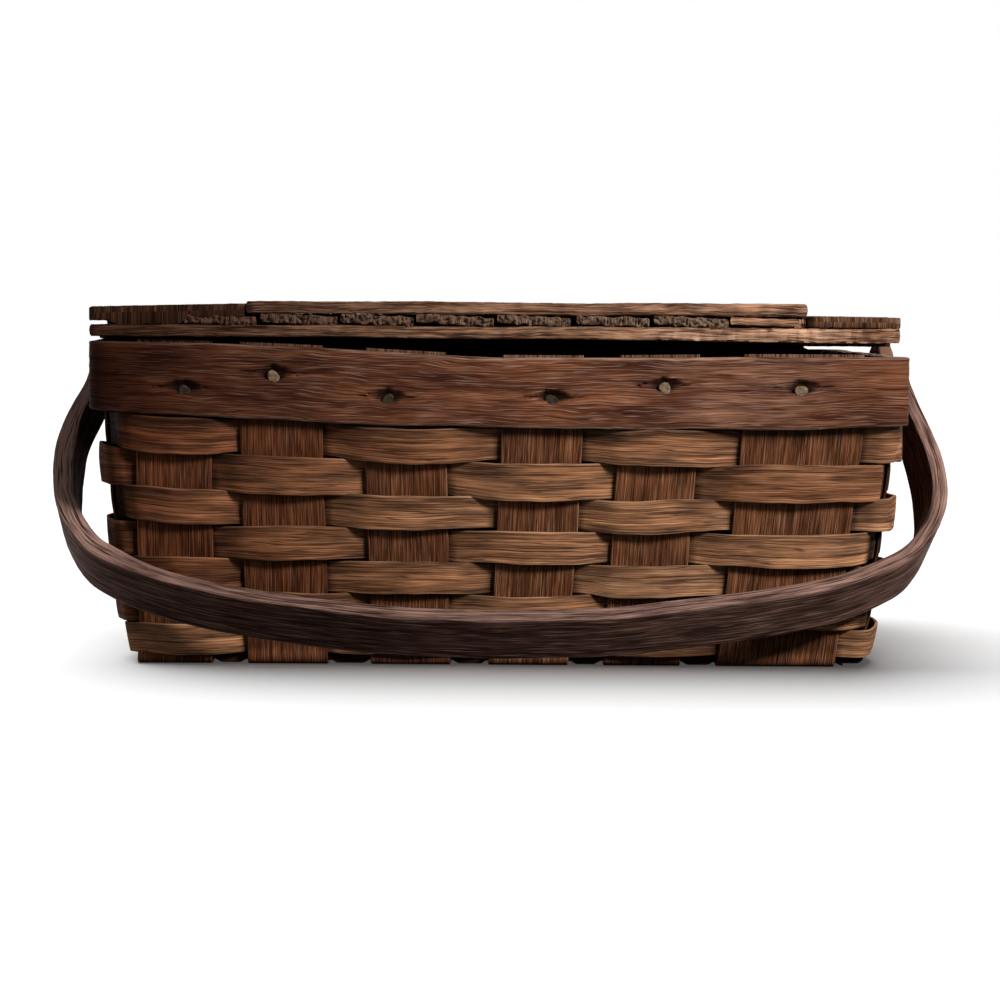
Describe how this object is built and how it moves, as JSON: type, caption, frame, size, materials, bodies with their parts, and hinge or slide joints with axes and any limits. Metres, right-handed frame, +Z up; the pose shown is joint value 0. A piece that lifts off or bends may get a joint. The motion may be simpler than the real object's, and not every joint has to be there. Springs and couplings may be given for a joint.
{
  "type": "picnic basket",
  "caption": "Rectangular picnic basket woven from flat wood splints, with nailed rim hoops, a bent-wood swing handle and a flat woven lid hinged at the back.",
  "frame": {"origin": "on the floor under the middle of the basket, on the underside of the middle lengthwise splint", "axes": "+X along the basket's length to the right as seen from the front, +Y to the back where the lid is hinged, +Z up"},
  "size_m": [0.4634, 0.3068, 0.1845],
  "materials": {
    "stake_splint": "old dark stain, worn satin, grain along the splint",
    "weaver_splint": "old stain worn lighter on the edges, grain along the splint",
    "rim_wood": "dark reddish stain, worn satin",
    "nail_steel": "dull, aged",
    "hinge_wire": "dark, aged",
    "lid_wood": "dry, worn stain",
    "lid_splint": "greyed, torn at the ends",
    "handle_wood": "dark stain, smooth from use"
  },
  "bodies": {
    "basket": {"cross_stake_1": "stake_splint", "cross_stake_2": "stake_splint", "cross_stake_3": "stake_splint", "cross_stake_4": "stake_splint", "cross_stake_5": "stake_splint", "cross_stake_6": "stake_splint", "end_stake_1": "stake_splint", "end_stake_2": "stake_splint", "end_stake_3": "stake_splint", "end_stake_4": "stake_splint", "end_stake_5": "stake_splint", "weaver_row_1": "weaver_splint", "weaver_row_2": "weaver_splint", "weaver_row_3": "weaver_splint", "weaver_row_4": "weaver_splint", "weaver_row_5": "weaver_splint", "weaver_row_6": "weaver_splint", "weaver_row_7": "weaver_splint", "outer_rim_hoop": "rim_wood", "inner_rim_hoop": "rim_wood", "front_nail_1": "nail_steel", "front_nail_2": "nail_steel", "front_nail_3": "nail_steel", "front_nail_4": "nail_steel", "front_nail_5": "nail_steel", "front_nail_6": "nail_steel", "ear_left": "rim_wood", "ear_right": "rim_wood", "rivet_left": "nail_steel", "rivet_right": "nail_steel", "staple_left": "hinge_wire", "staple_right": "hinge_wire"},
    "handle": {"handle_bow": "handle_wood"},
    "lid": {"lid_lower_front": "lid_wood", "lid_lower_back": "lid_wood", "lid_lower_left": "lid_wood", "lid_lower_right": "lid_wood", "lid_upper_front": "lid_wood", "lid_upper_back": "lid_wood", "lid_end_left": "lid_wood", "lid_end_right": "lid_wood", "lid_cross_1": "lid_splint", "lid_cross_2": "lid_splint", "lid_cross_3": "lid_splint", "lid_cross_4": "lid_splint", "lid_cross_5": "lid_splint", "lid_cross_6": "lid_splint", "lid_cross_7": "lid_splint", "lid_cross_8": "lid_splint", "lid_long_1": "lid_splint", "lid_long_2": "lid_splint", "lid_long_3": "lid_splint", "lid_long_4": "lid_splint", "lid_long_5": "lid_splint", "lid_long_6": "lid_splint", "eye_left": "hinge_wire", "eye_right": "hinge_wire"}
  },
  "joints": [
    {"name": "handle_swing", "type": "hinge", "parent": "basket", "child": "handle", "pos_m": [0, 0, 0.14175], "axis": [-1, 0, 0], "range_deg": [0, 256]},
    {"name": "lid_hinge", "type": "hinge", "parent": "basket", "child": "lid", "pos_m": [0, 0.139, 0.16735], "axis": [-1, 0, 0], "range_deg": [0, 180]}
  ]
}
